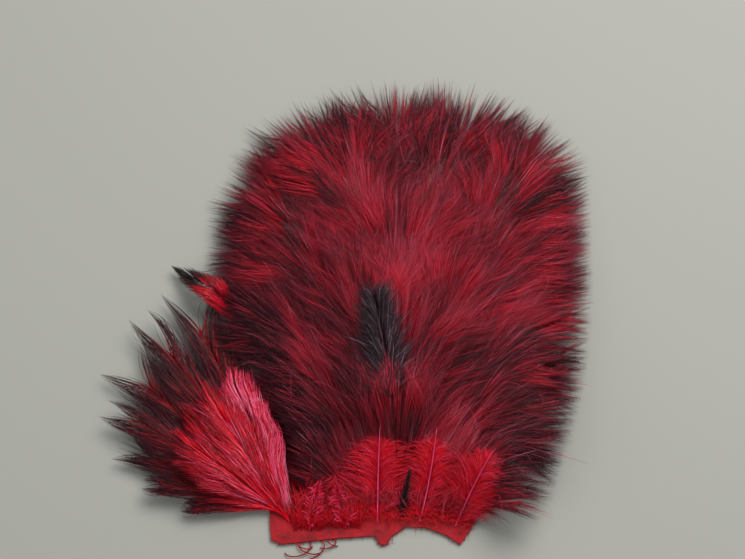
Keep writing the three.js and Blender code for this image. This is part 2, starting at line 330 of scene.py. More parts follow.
class BarbMesh:
    """Gathers closed three-sided barbs that taper to a point, and makes one mesh of them.

    BASE_SHARE is how far a barb's flat side lies below its line, over how far its ridge lies above.
    SHADE_BAND is the width that one barb takes on the map.
    """

    BASE_SHARE = 0.4
    SHADE_BAND = 0.02

    def __init__(self) -> None:
        """Starts with no barbs."""
        self.vertices: list[Array] = []
        self.corners: list[Array] = []
        self.sizes: list[Array] = []
        self.places: list[Array] = []
        self.count = 0
        self.triangles = 0

    def add(
        self,
        lines: Array,
        half_widths: Array,
        shades: Array,
        flatness: float = 0.8,
        roll: Array | None = None,
    ) -> None:
        """Adds barbs that have the same number of points.

        Args:
            lines: each barb's points from root to tip, in millimetres.
            half_widths: half its width at each point.
            shades: its place from darkest, 0, to brightest, 1.
            flatness: its height over its half width.
            roll: turns each barb about its own line, in radians.
        """
        barbs, points, _ = lines.shape
        rings = points - 1
        tangent = np.gradient(lines, axis=1)
        tangent /= np.linalg.norm(tangent, axis=2, keepdims=True) + TINY
        side = np.cross(tangent, np.array([0.0, 0.0, 1.0]))
        side /= np.linalg.norm(side, axis=2, keepdims=True) + TINY
        top = np.cross(side, tangent)
        if roll is not None:
            cos, sin = np.cos(roll)[:, None, None], np.sin(roll)[:, None, None]
            side, top = side * cos + top * sin, top * cos - side * sin
        base = -self.BASE_SHARE * flatness
        section = np.array([[-1.0, base], [1.0, base], [0.0, flatness]])
        offsets = (
            side[:, :rings, None, :] * section[None, None, :, 0, None]
            + top[:, :rings, None, :] * section[None, None, :, 1, None]
        ) * half_widths[:, :rings, None, None]
        rim = (lines[:, :rings, None, :] + offsets).reshape(barbs, rings * 3, 3)
        self.vertices.append(np.concatenate([rim, lines[:, -1:, :]], axis=1).reshape(-1, 3))

        faces, places, sizes = self._pattern(rings)
        per_barb = rings * 3 + 1
        starts = self.count + np.arange(barbs) * per_barb
        self.corners.append((faces[None, :] + starts[:, None]).ravel())
        self.sizes.append(np.tile(sizes, barbs))
        u = mix(shades[:, None], places[None, :, 0], self.SHADE_BAND)
        v = np.broadcast_to(places[None, :, 1], u.shape)
        self.places.append(np.stack([u, v], axis=2).reshape(-1, 2))
        self.count += barbs * per_barb
        self.triangles += int((np.tile(sizes, barbs) - 2).sum())

    @staticmethod
    def _pattern(rings: int) -> tuple[Array, Array, Array]:
        """Lays out one barb's faces.

        Args:
            rings: how many rings of three vertices come before the tip.

        Returns:
            Its corners' vertices, their places on the map, and each face's number of corners.
        """
        faces: list[int] = []
        places: list[tuple[float, float]] = []
        sizes: list[int] = []
        tip = rings * 3
        for ring in range(rings):
            low, high = ring / rings, (ring + 1) / rings
            for j in range(3):
                left, right = j / 3, (j + 1) / 3
                a, b = ring * 3 + j, ring * 3 + (j + 1) % 3
                if ring < rings - 1:
                    faces += [a, a + 3, b + 3, b]
                    places += [(left, low), (left, high), (right, high), (right, low)]
                    sizes.append(4)
                else:
                    faces += [a, tip, b]
                    places += [(left, low), ((left + right) / 2, high), (right, low)]
                    sizes.append(3)
        faces += [0, 1, 2]
        places += [(0.0, 0.0), (1.0, 0.0), (0.5, 0.02)]
        sizes.append(3)
        return np.array(faces), np.array(places), np.array(sizes)

    def build(self, name: str, finish: Finish, nodes: list[str], slot: str) -> None:
        """Makes the mesh, dresses it and puts it in place of its solids.

        Args:
            name: the piece's name.
            finish: what its barbs are finished with.
            nodes: the solids that it stands for.
            slot: the record's slot; not used.
        """
        mesh = bpy.data.meshes.new(name)
        vertices = np.concatenate(self.vertices) * MM
        corners = np.concatenate(self.corners).astype(np.int32)
        sizes = np.concatenate(self.sizes).astype(np.int32)
        mesh.vertices.add(len(vertices))
        mesh.vertices.foreach_set("co", vertices.astype(np.float32).ravel())
        mesh.loops.add(len(corners))
        mesh.loops.foreach_set("vertex_index", corners)
        mesh.polygons.add(len(sizes))
        mesh.polygons.foreach_set("loop_start", (np.cumsum(sizes) - sizes).astype(np.int32))
        mesh.polygons.foreach_set("use_smooth", np.ones(len(sizes), dtype=bool))
        mesh.update(calc_edges=True)
        layer = mesh.uv_layers.new(name=BARB_MAP)
        layer.uv.foreach_set("vector", np.concatenate(self.places).astype(np.float32).ravel())
        mesh.materials.append(finish.value.material())
        piece = add_object(name, mesh)
        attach(piece, "root")
        if nodes:
            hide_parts(*nodes)
        LOG.info("%s: %d triangles", name, self.triangles)


@dataclass(frozen=True)
class FluffOutline:
    """The fluff seen from above: a squarish right half and a rounder, narrowing left half."""

    centre_x: float = 1.0
    centre_y: float = 2.0
    right: float = 46.0
    left: float = 44.0
    up: float = 56.0
    down: float = 66.0
    right_power: float = 3.4
    left_power: float = 2.1
    narrowing_from: float = 10.0
    narrowing_per_mm: float = 0.4
    edge_droop: float = 0.72

    def outwards(self, x: Array, y: Array) -> Array:
        """Tells how far out points lie.

        Args:
            x: their places across.
            y: their places along.

        Returns:
            0 in the middle of the fluff and 1 on its outline.
        """
        dx, dy = x - self.centre_x, y - self.centre_y
        narrowed = self.narrowing_per_mm * np.maximum(0, self.narrowing_from - y)
        across = np.where(dx > 0, self.right, self.left - narrowed)
        lengthwise = np.where(dy > 0, self.up, self.down)
        power = np.where(dx > 0, self.right_power, self.left_power)
        total = np.abs(dx / across) ** power + np.abs(dy / lengthwise) ** power
        return total ** (1 / power)

    def standing(self, x: Array, y: Array) -> Array:
        """Returns the share of its height that plumage keeps at each point."""
        return 1 - self.edge_droop * np.minimum(1, self.outwards(x, y)) ** 3


OUTLINE = FluffOutline()


def along(x: Array, y: Array, heading: Array, turn: Array, distance: Array) -> tuple[Array, Array]:
    """Follows lines whose headings turn evenly.

    Args:
        x: where they start, across.
        y: where they start, along.
        heading: their first heading in degrees, clockwise from +Y.
        turn: how much it turns, in degrees a millimetre.
        distance: how far to go.

    Returns:
        The points reached, across and along.
    """
    least = 1e-7
    rate = np.radians(turn)
    rate = np.where(np.abs(rate) < least, least, rate)
    start = np.radians(heading)
    end = start + rate * distance
    return x + (np.cos(start) - np.cos(end)) / rate, y + (np.sin(end) - np.sin(start)) / rate


class Blade:
    """A feather's middle surface: side runs from -1 to 1 across it, distance from the quill."""

    name: str
    length: float
    above: float = 0.0

    def surface(self, side: Array, distance: Array) -> Array:
        """Returns the surface's points, in millimetres."""
        raise NotImplementedError

    def breadth(self) -> float:
        """Returns its width in millimetres at three fifths of its length."""
        edges = self.surface(np.array([-1.0, 1.0]), np.array([0.6, 0.6]) * self.length)
        return float(np.linalg.norm(edges[1] - edges[0]))


@dataclass(frozen=True)
class MarabouRow:
    """A row of fluffy feathers, whose quills stand side by side and fan out."""

    level: float
    root_y: float
    root_half: float
    count: int
    left: float
    right: float
    middle: float
    side: float
    rise: float
    centre_x: float = 1.0
    sag: float = 3.0
    curl: float = 9.0
    curl_length: float = 60.0
    side_rise: float = 0.6
    outline_step: float = 0.25

    def point(self, q: Array, distance: Array) -> tuple[Array, Array]:
        """Returns where the row's plumage flows: q is -1 at its left end and 1 at its right."""
        heading = q * np.where(q < 0, self.left, self.right)
        x = self.centre_x + q * self.root_half
        y = self.root_y - self.sag * q * q
        return along(x, y, heading, q * self.curl / self.curl_length, distance)

    def reach(self, q: float) -> float:
        """Returns the distance from a quill to the fluff's outline."""
        distance = 0.0
        while OUTLINE.outwards(*self.point(np.array(q), np.array(distance))) < 1:
            distance += self.outline_step
        return distance


@dataclass(frozen=True)
class RowFeather(Blade):
    """One marabou feather of a row, on or below its neighbours."""

    name: str
    row: MarabouRow
    order: int
    neighbour_lift: float = 1.65
    neighbour_rise: float = 4.0
    middle_overlap: float = 1.85
    side_overlap: float = 1.3

    @property
    def q(self) -> float:
        """Its place in the row, from -1 to 1."""
        return -1 + self.order * 2 / (self.row.count - 1)

    @property
    def length(self) -> float:
        """Its length from quill to tip."""
        return self.row.reach(self.q) * mix(self.row.middle, self.row.side, self.q**2)

    @property
    def above(self) -> float:
        """How far it lies above its neighbours."""
        return self.neighbour_lift * (self.order % 2)

    @property
    def overlap(self) -> float:
        """Its width over its share of the row."""
        return mix(self.middle_overlap, self.side_overlap, abs(self.q))

    def surface(self, side: Array, distance: Array) -> Array:
        """Returns the surface's points, in millimetres."""
        q = self.q + side * self.overlap / (self.row.count - 1)
        x, y = self.row.point(q, distance)
        rise = self.row.rise * mix(1.0, self.row.side_rise, np.abs(q))
        climbed = self.row.level * smooth(distance / rise)
        climbed = climbed + self.above * smooth(distance / self.neighbour_rise)
        return np.stack([x, y, QUILL_HEIGHT + climbed * OUTLINE.standing(x, y)], axis=-1)


@dataclass(frozen=True)
class TuftFeather(Blade):
    """A long hackle of the side tuft: fan is 0 at the fluff's side and 1 at the lower end."""

    name: str
    fan: float
    spacing: float
    length: float
    from_heading: float
    to_heading: float
    level: float
    above: float
    root_x: float = -23.0
    root_y: float = -45.5
    root_step: float = 2.5
    overlap: float = 1.8
    rise: float = 14.0
    neighbour_rise: float = 4.0

    def surface(self, side: Array, distance: Array) -> Array:
        """Returns the surface's points, in millimetres."""
        across = self.fan - side * self.spacing / 2 * self.overlap
        x, y = along(
            self.root_x - across * self.root_step,
            self.root_y + across * self.root_step,
            mix(self.from_heading, self.to_heading, across),
            np.zeros_like(distance),
            distance,
        )
        climbed = self.level * smooth(distance / self.rise)
        climbed = climbed + self.above * smooth(distance / self.neighbour_rise)
        return np.stack([x, y, QUILL_HEIGHT + climbed], axis=-1)


@dataclass(frozen=True)
class LoneFeather(Blade):
    """A vaned feather that lies by itself: its width is square to its shaft."""

    name: str
    x: float
    y: float
    heading: float
    bend: float
    length: float
    width: float
    level: float
    rise: float

    def surface(self, side: Array, distance: Array) -> Array:
        """Returns the surface's points, in millimetres."""
        mid_x, mid_y = along(self.x, self.y, self.heading, self.bend / self.length, distance)
        direction = np.radians(self.heading + self.bend * distance / self.length)
        reach = side * self.width / 2
        x, y = mid_x + reach * np.cos(direction), mid_y - reach * np.sin(direction)
        return np.stack([x, y, QUILL_HEIGHT + self.level * smooth(distance / self.rise)], axis=-1)


def vaned_width(t: Array) -> Array:
    """Returns a vaned feather's half width: widest below the middle, narrowing to a point."""
    full_at, narrows_from, narrows_over, narrows_by = 0.3, 0.45, 0.58, 0.9
    narrowed = narrows_by * clamp01((t - narrows_from) / narrows_over) ** 2
    return np.maximum(0.05, smooth(t / full_at) * (1 - narrowed))


@dataclass(frozen=True)
class DyePatch:
    """A stretch of the fluff that the dye left brighter or, where its change is below 0, darker."""

    x: float
    y: float
    radius: float
    change: float


# Each patch's x, y and radius in millimetres, and its change of shade.
DYE_PATCHES = tuple(
    DyePatch(*values)
    for values in (
        (-10, 45, 6, 0.25), (-7, 35, 6, 0.38), (8, 22, 8, 0.5), (15, 38, 6, 0.18),
        (-4, 9, 5, 0.3), (2, 12, 5, 0.4), (-23, -4, 6, 0.32), (8, -30, 7, 0.75),
        (15, -34, 8, 0.6), (-11, -34, 6, 0.4), (-21, 24, 5, 0.2), (23, 7, 6, 0.2),
        (34, 4, 6, 0.2), (24, -20, 6, 0.2), (0, -27, 5, -0.35), (10, -23, 4, -0.3),
        (28, -8, 7, -0.35), (37, -22, 9, -0.35), (-36, -6, 8, -0.35), (-29, 18, 6, -0.3),
        (-22, 39, 5, -0.3), (5, 50, 7, -0.35), (39, 31, 7, -0.3), (-14, 57, 8, -0.2),
        (-28, -24, 9, -0.4), (-35, 5, 8, -0.3), (33, -37, 8, -0.3), (-14, -9, 7, -0.25),
        (18, 52, 8, -0.2),
    )
)
# The dye's middle shade, and for each size of blotch its width, its swing and a layer of its own.
DYE_MIDDLE = 0.43
DYE_SWINGS = ((8.0, 0.4, 3.1), (2.8, 0.45, 7.7))
PATCH_STRENGTH = 1.3


def dye_shade(x: float, y: float) -> float:
    """Tells how bright the dye is at a place on the fluff.

    Args:
        x: the place across.
        y: the place along.

    Returns:
        A shade that is mostly from 0 to 1.
    """
    shade = DYE_MIDDLE
    for width, swing, layer in DYE_SWINGS:
        shade += swing * noise.noise(Vector((x / width, y / width, layer)))
    for patch in DYE_PATCHES:
        away = ((x - patch.x) ** 2 + (y - patch.y) ** 2) / patch.radius**2
        shade += PATCH_STRENGTH * patch.change * math.exp(-away)
    return shade


@dataclass(frozen=True)
class Cover:
    """Where fluff lies over the dark feather: along its lower part and over its tip."""

    x: float = 1.6
    y: float = -45.0
    heading: float = -2.0
    turn: float = -12.0 / 58
    starts: float = 17.0
    bare_from: float = 30.0
    bare_until: float = 45.0
    falls_from: float = 47.0
    falls_over: float = 34.0
    fades_over: float = 8.0
    flat_half: float = 4.5
    shoulder: float = 8.0
    level: float = 17.0
    rise: float = 22.0
    clearance: float = 0.9
    deepest: float = 10.0
    deep_fade: float = 4.0

    def lift(self, points: Array) -> Array:
        """Tells how much points must rise to lie over the dark feather.

        Args:
            points: places on or in the fluff, in millimetres.

        Returns:
            The rise of each point, 0 away from the feather.
        """
        distance = points[..., 1] - self.y
        mid, _ = along(self.x, self.y, self.heading, self.turn, distance)
        inside = 1 - smooth((np.abs(points[..., 0] - mid) - self.flat_half) / self.shoulder)
        lower = smooth((distance - self.starts) / self.fades_over)
        lower = lower * (1 - smooth((distance - self.bare_from) / self.fades_over))
        upper = smooth((distance - self.bare_until) / self.fades_over)
        risen = smooth(distance / self.rise) - smooth((distance - self.falls_from) / self.falls_over)
        needed = QUILL_HEIGHT + self.level * risen + self.clearance
        missing = np.maximum(0, needed - points[..., 2])
        near = smooth((self.deepest - missing) / self.deep_fade)
        return inside * (lower + upper) * near * missing


@dataclass
class TopRows:
    """A map, seen from above, of which row's plumage lies on top."""

    cell: float = 1.5
    half: int = 60
    steps: int = 240

    def __post_init__(self) -> None:
        """Starts with nothing anywhere."""
        self.top = np.full((2 * self.half, 2 * self.half), -1)

    def _cells(self, x: Array, y: Array) -> tuple[Array, Array]:
        """Returns the cells that hold the points."""
        column = (np.asarray(x) / self.cell + self.half).astype(int)
        line = (np.asarray(y) / self.cell + self.half).astype(int)
        return np.clip(column, 0, 2 * self.half - 1), np.clip(line, 0, 2 * self.half - 1)

    def lay(self, row: MarabouRow, number: int) -> None:
        """Lays a row over the ones before it.

        Args:
            row: the row of feathers.
            number: its place in the order that the rows lie in.
        """
        share = np.linspace(0.1, 0.97, self.steps)
        for q in np.linspace(-1, 1, self.steps):
            distance = share * row.reach(q) * mix(row.middle, row.side, q * q)
            column, line = self._cells(*row.point(np.full(self.steps, q), distance))
            self.top[column, line] = number

    def number(self, x: Array, y: Array) -> Array:
        """Returns the number of the row on top at each point."""
        return self.top[self._cells(x, y)]


@dataclass(frozen=True)
class FluffyBarbs:
    """The open barbs of a marabou feather, which lean together in pointed locks."""

    lock_spacing: float = 1.17
    blade_share: float = 1.1
    fewest_locks: int = 12
    denser_until: float = -0.5
    denser_by: float = 1.5
    barbs_per_lock: int = 8
    points: int = 3
    first_tip: float = 0.16
    last_tip: float = 1.055
    shortest: float = 9.0
    longest: float = 17.0
    half_width: float = 0.051
    bulge: float = 0.13
    root_side: float = 0.5
    loft: float = 3.0
    past_edge: float = 1.25
    above_floor: float = 0.15
    end_droop: float = 2.0
    # Highlight barbs: a share of the barbs lifted to the palest pink and made finer, as painted highlights
    # along fine hairs.
    highlight_share: float = 0.2
    highlight_lift: float = 0.35
    highlight_from: float = 0.85
    highlight_width: float = 0.65
    brightest: float = 0.72
    lock_shade_spread: float = 0.1
    barb_shade_spread: float = 0.08
    edge_shade: float = -0.04
    loose_inside: float = 0.8
    loose_at_edge: float = 0.12
    hidden_share: float = 0.07
    lowest_tip: float = -46.0
    fringe_from: float = 0.8
    fringe_edge: float = 1.03
    fringe_scale: float = 40.0
    fringe_height: float = 11.0
    outer_from: float = 0.75
    edge_widening: float = 1.3
    fuller_x: float = -28.0
    fuller_y: float = 40.0
    fuller_radius: float = 20.0
    fuller_by: float = 3.6
    trim_x: float = 46.0
    trim_from_y: float = 12.0
    trim_bend: float = 0.0036
    fuller_inside: float = 0.2
    cover: Cover = Cover()

    def edge_shift(self, tips: Array) -> Array:
        """Tells how much farther out, or in, the fluff's edge lies than its rows reach.

        Args:
            tips: the places where locks end, in millimetres.

        Returns:
            The shift of each tip: out at the upper left, in at the lower right.
        """
        x, y = tips[:, 0], tips[:, 1]
        at_edge = smooth((OUTLINE.outwards(x, y) - self.fuller_inside) / (1 - self.fuller_inside))
        away = ((x - self.fuller_x) ** 2 + (y - self.fuller_y) ** 2) / self.fuller_radius**2
        limit = self.trim_x - self.trim_bend * np.maximum(0, self.trim_from_y - y) ** 2
        return self.fuller_by * np.exp(-away) * at_edge - np.maximum(0, x - limit)

    def locks(self, blade: RowFeather, top: TopRows, number: int, random: Random) -> Array:
        """Chooses where a feather's locks end: mostly where the rows above leave it in view.

        Args:
            blade: the feather's middle surface.
            top: which row lies on top at each place.
            number: the feather's own row.
            random: where its unevenness comes from.

        Returns:
            Two rows: the tips' places across the blade, and along it from 0 to 1.
        """
        area = blade.length * blade.breadth() * self.blade_share / blade.overlap
        tries = max(self.fewest_locks, int(area / self.lock_spacing**2))
        if blade.q < self.denser_until and number > 1:
            tries = int(tries * self.denser_by)
        t = mix(self.first_tip, self.last_tip, random.random(tries) ** 0.8)
        width = smooth(t / 0.3) * np.sqrt(np.maximum(0.02, 1 - clamp01((t - 0.7) / 0.39) ** 3))
        side = random.uniform(-1, 1, tries) * self.past_edge * width
        points = blade.surface(side, t * blade.length)
        in_view = top.number(points[:, 0], points[:, 1]) <= number
        kept = in_view | (random.random(tries) < self.hidden_share)
        kept &= points[:, 1] > self.lowest_tip + random.normal(0, 1.2, tries)
        return np.array([side[kept], t[kept]])

    def grow(self, mesh: BarbMesh, blade: RowFeather, ends: Array, random: Random) -> None:
        """Adds a feather's barbs.

        Args:
            mesh: takes the barbs.
            blade: the feather's middle surface.
            ends: where its locks end, across and along the blade.
            random: where its unevenness comes from.
        """
        tip_side, tip_t = ends
        locks = len(tip_t)
        tip_d = tip_t * blade.length
        tips = blade.surface(tip_side, tip_d)
        outwards = OUTLINE.outwards(tips[:, 0], tips[:, 1])
        near = (outwards > self.fringe_from) & (tips[:, 2] < self.fringe_height)
        short = np.maximum(0, self.fringe_edge - outwards) * self.fringe_scale
        tip_d = tip_d + near * short * random.random(locks)
        tip_d = tip_d + self.edge_shift(blade.surface(tip_side, tip_d))
        tips = blade.surface(tip_side, tip_d)
        outwards = OUTLINE.outwards(tips[:, 0], tips[:, 1])
        outer = smooth((outwards - self.outer_from) / (1 - self.outer_from))
        reach = random.uniform(self.shortest, self.longest, locks)
        root_d = np.maximum(tip_d - reach, 0.04 * blade.length)
        loft = self.loft * random.uniform(-0.1, 1.0, locks)
        shade = np.array([dye_shade(x, y) for x, y, _ in tips])
        shade += random.normal(0, self.lock_shade_spread, locks) + self.edge_shade * outer

        barbs = locks * self.barbs_per_lock

        def spread(values: Array) -> Array:
            """Gives each barb the value of its lock."""
            return np.repeat(values, self.barbs_per_lock)[:, None]

        u = shares(self.points)
        shorter = 1 - 0.5 * random.random((barbs, 1)) ** 2
        t = u * shorter
        root = np.maximum(spread(root_d) + random.uniform(-1.2, 1.2, (barbs, 1)), 0.02 * blade.length)
        distance = mix(root, spread(tip_d), t)
        side = spread(tip_side) * mix(self.root_side, 1, 1 - (1 - t) ** 2.2)
        lines = blade.surface(side, distance)
        chord = lines[:, -1] - lines[:, 0]
        chord /= np.linalg.norm(chord, axis=1, keepdims=True) + TINY
        across = np.stack([chord[:, 1], -chord[:, 0]], axis=1)[:, None, :]
        swell = np.sin(np.pi * t**0.8)[:, :, None]
        lines[:, :, :2] += across * random.normal(0, self.bulge, (barbs, 1, 1)) * swell
        loose = mix(self.loose_inside, self.loose_at_edge, spread(outer))[:, :, None]
        lines[:, :, :2] += across * random.normal(0, 1, (barbs, 1, 1)) * loose * t[:, :, None]
        heights = lines[:, :, 2]
        heights += random.normal(0, 0.3, (barbs, 1)) * swell[:, :, 0]
        standing = OUTLINE.standing(lines[:, :, 0], lines[:, :, 1]) ** 0.5
        heights += (spread(loft) + random.normal(0, 0.4, (barbs, 1))) * t**1.5 * standing
        heights -= blade.above * smooth((np.abs(side) - 0.3) / 0.7) * t
        heights -= self.end_droop * smooth((distance / blade.length - 0.75) / 0.3) * standing
        heights[:] = np.maximum(heights, self.above_floor + 0.3 * random.random((barbs, 1)))
        heights += self.cover.lift(lines) * smooth(u * 2.2) * random.uniform(0.95, 1.1, (barbs, 1))
        taper = self.half_width * (1 - 0.7 * u) * random.uniform(0.6, 1.25, (barbs, 1))
        taper = taper * mix(1.0, self.edge_widening, spread(outer))
        shades = spread(shade)[:, 0] + random.normal(0, self.barb_shade_spread, barbs)
        # A share of the barbs turns palest pink and finer: painted highlights along fine hairs. The rest
        # stay at or below the brightest dye.
        highlit = random.random(barbs) < self.highlight_share
        highlit_shades = np.maximum(shades + self.highlight_lift, self.highlight_from)
        shades = np.where(highlit, highlit_shades, np.minimum(shades, self.brightest))
        taper = np.where(highlit[:, None], taper * self.highlight_width, taper)
        mesh.add(lines, taper, clamp01(shades), roll=random.uniform(0, np.pi, barbs))


@dataclass(frozen=True)
class BaseDown:
    """Short soft barbs around a quill, which hide its foot and spread over the skin."""

    barbs: int = 260
    points: int = 4
    quill: float = 6.0
    shortest: float = 4.0
    longest: float = 9.0
    half_width: float = 0.07
    fan: float = 110.0
    arch: float = 2.6
    shade: float = 0.62
    turned: float = 0.0
    scatter: float = 0.0
    lowest: float = -45.5
    curl: float = 25.0

    def grow(self, mesh: BarbMesh, blade: Blade, random: Random) -> None:
        """Adds the down around a feather's quill.

        Args:
            mesh: takes the barbs.
            blade: the feather's middle surface.
            random: where its unevenness comes from.
        """
        zeros = np.zeros(self.barbs)
        start = blade.surface(zeros, random.uniform(0, self.quill, self.barbs))
        start[:, 0] += random.uniform(-self.scatter, self.scatter, self.barbs)
        ahead = blade.surface(np.zeros(2), np.array([0.0, 1.0]))
        back = math.atan2(ahead[0, 0] - ahead[1, 0], ahead[0, 1] - ahead[1, 1])
        heading = back + np.radians(self.turned + random.uniform(-self.fan, self.fan, self.barbs))
        length = random.uniform(self.shortest, self.longest, self.barbs)
        u = shares(self.points)
        turn = np.radians(random.normal(0, self.curl, (self.barbs, 1))) * u
        x = start[:, :1] + np.sin(heading[:, None] + turn) * length[:, None] * u
        y = start[:, 1:2] + np.cos(heading[:, None] + turn) * length[:, None] * u
        foot = random.uniform(SKIN_TOP + 0.2, SKIN_TOP + 2.0, (self.barbs, 1))
        arch = self.arch * random.uniform(0.3, 1, (self.barbs, 1))
        z = mix(start[:, 2:], foot, u) + arch * np.sin(np.pi * u)
        kept = y[:, -1] > self.lowest + random.normal(0, 1.0, self.barbs)
        widths = self.half_width * (1 - 0.7 * u) * np.ones((self.barbs, 1))
        shades = clamp01(self.shade + random.normal(0, 0.1, self.barbs))
        mesh.add(np.stack([x, y, z], axis=2)[kept], widths[kept], shades[kept])


@dataclass(frozen=True)
class StrayHairs:
    """A few pale hairs that have come loose and arch over the fluff; their pale pink is painted highlight.
    """

    hairs: int = 2
    points: int = 6
    shortest: float = 4.0
    longest: float = 9.0
    half_width: float = 0.026
    height: float = 3.0
    side_reach: float = 0.7
    from_t: float = 0.3
    until_t: float = 0.62

    def grow(self, mesh: BarbMesh, blade: Blade, random: Random) -> None:
        """Adds the hairs over a feather.

        Args:
            mesh: takes the hairs.
            blade: the feather's middle surface.
            random: where their unevenness comes from.
        """
        side = random.uniform(-self.side_reach, self.side_reach, self.hairs)
        start = blade.surface(side, random.uniform(self.from_t, self.until_t, self.hairs) * blade.length)
        side = random.uniform(-self.side_reach, self.side_reach, self.hairs)
        end = blade.surface(side, np.full(self.hairs, blade.length * 0.9))
        ahead = end - start
        heading = np.arctan2(ahead[:, 0], ahead[:, 1]) + random.normal(0, 0.6, self.hairs)
        length = random.uniform(self.shortest, self.longest, self.hairs)
        u = shares(self.points)
        turned = heading[:, None] + random.normal(0, 0.5, (self.hairs, 1)) * u
        lines = np.repeat(start[:, None, :], self.points, axis=1)
        lines[:, :, 0] += np.sin(turned) * length[:, None] * u
        lines[:, :, 1] += np.cos(turned) * length[:, None] * u
        arch = np.sin(np.pi * (0.15 + 0.7 * u))
        lines[:, :, 2] += self.height * arch * random.uniform(0.8, 1.2, (self.hairs, 1))
        widths = np.full((self.hairs, self.points), self.half_width)
        # Full shade gives the palest pink: a painted highlight on the loose hairs.
        mesh.add(lines, widths, np.ones(self.hairs))


@dataclass(frozen=True)
class Shaft:
    """A feather's shaft, rooted in the skin, and down in the fluff until the part that shows."""

    half_width: float = 0.28
    points: int = 10
    shade: float = 0.9
    depth_in_skin: float = 0.4
    shows_from: float = 0.0
    raised: float = 0.0
    ends: float = 0.97

    def grow(self, mesh: BarbMesh, blade: Blade) -> None:
        """Adds the shaft along the middle of a blade."""
        t = np.linspace(0, 1, self.points)
        line = blade.surface(np.zeros_like(t), t * blade.length * self.ends)
        line[:, 2] += self.raised * smooth(t * 4)
        if self.shows_from:
            line[:, 2] = QUILL_HEIGHT + (line[:, 2] - QUILL_HEIGHT) * smooth(t / self.shows_from)
        foot = line[0] + (line[0] - line[1]) * 0.1
        foot[2] = SKIN_TOP - self.depth_in_skin
        line = np.concatenate([[foot], line])[None]
        widths = self.half_width * (1 - 0.8 * np.linspace(0, 1, self.points + 1))[None]
        mesh.add(line, widths, np.array([self.shade]))


@dataclass(frozen=True)
class VaneBarbs:
    """The close, glossy barbs of a vaned feather."""

    spacing: float = 0.15
    starts: float = 0.05
    ends: float = 0.97
    sweep: float = 12.0
    back: float = 0.0
    spread: float = 0.85
    stretch: tuple[float, float] = (1.0, 1.0)
    beyond: float = 0.04
    points: int = 5
    half_width: float = 0.16
    flatness: float = 0.35
    lift: float = 0.35
    droop: float = 0.0
    ragged: float = 0.12
    shade: float = 0.6
    shade_spread: float = 0.08
    tip_shade: float | None = None
    turn_at: float = 0.5
    root_side: float = 0.0
    frayed: float = 0.0
    sink: float = 0.0
    sinks_from: float = 0.3
    sinks_over: float = 0.6
    shorter_ahead: float = 0.4
    tip_spread: float = 0.08
    narrowing: float = 0.7
    turn_over: float = 0.2
    strands_per_mm: float = 1.1
    strand_contrast: float = 1.6
    over: float = 0.0
    over_from: float = 0.42
    over_climb: float = 0.22
    over_until: float = 0.5
    over_fall: float = 0.45
    wave: float = 0.0
    wave_length: float = 5.0

    def grow(self, mesh: BarbMesh, blade: Blade, random: Random) -> None:
        """Adds a feather's barbs on both sides of its shaft.

        Args:
            mesh: takes the barbs.
            blade: the feather's middle surface.
            random: where its unevenness comes from.
        """
        places = np.arange(self.starts * blade.length, self.ends * blade.length, self.spacing)
        tip_shade = self.shade if self.tip_shade is None else self.tip_shade
        for hand, stretch in zip((-1, 1), self.stretch):
            barbs = len(places)
            root_d = places + random.normal(0, 0.15, barbs)
            sweep = self.sweep * random.uniform(1 - 3 * self.ragged, 1.15, barbs)
            sweep *= 1 - self.shorter_ahead * root_d / blade.length
            tip_t = (root_d + sweep - self.back) / blade.length
            widest = vaned_width(np.maximum(tip_t, (root_d + sweep / 2) / blade.length) * 0.96)
            side = hand * stretch * widest * random.uniform(1 - 3 * self.ragged, 1 + self.ragged, barbs)
            side *= 1 + self.frayed * random.random(barbs) ** 3
            u = shares(self.points)
            distance = root_d[:, None] + sweep[:, None] * u - self.back * u**2
            end = blade.length * (1 + self.beyond - self.tip_spread * random.random((barbs, 1)))
            distance = np.maximum(np.minimum(distance, end), 0)
            starts_at = self.root_side * random.random((barbs, 1))
            lines = blade.surface(side[:, None] * mix(starts_at, 1, u**self.spread), distance)
            share = distance / blade.length
            climbed = smooth((share - self.over_from) / self.over_climb)
            fallen = smooth((share - self.over_until) / self.over_fall)
            lines[:, :, 2] += self.over * (climbed * (1 - fallen))
            lines[:, :, 2] += random.uniform(0, self.lift, (barbs, 1)) * np.sin(np.pi * u * 0.75)
            sunk = smooth((share - self.sinks_from) / self.sinks_over)
            lines[:, :, 2] -= self.droop * u**2 + self.sink * sunk
            if self.wave:
                spots = [Vector(place) / self.wave_length for place in lines.reshape(-1, 3)]
                bend = [noise.noise_vector(spot) for spot in spots]
                lines += self.wave * np.array(bend).reshape(lines.shape) * u[:, :, None]
            lines[:, :, :2] += random.normal(0, self.ragged, (barbs, 1, 2)) * u[:, :, None]
            lines[:, :, 2] = np.maximum(lines[:, :, 2], FLOOR_GAP)
            widths = self.half_width * (1 - self.narrowing * u**2) * random.uniform(0.7, 1.2, (barbs, 1))
            past_turn = (tip_t - self.turn_at + self.turn_over / 2) / self.turn_over
            turned = smooth(past_turn + random.normal(0, 0.15, barbs))
            spots = [Vector((d * self.strands_per_mm, hand * 7.0, blade.length)) for d in root_d]
            strands = np.array([noise.noise(spot) for spot in spots])
            shades = mix(self.shade, tip_shade, turned) + self.shade_spread * strands * self.strand_contrast
            shades += random.normal(0, self.shade_spread, barbs)
            mesh.add(lines, widths, clamp01(shades), self.flatness, random.normal(0, 0.25, barbs))


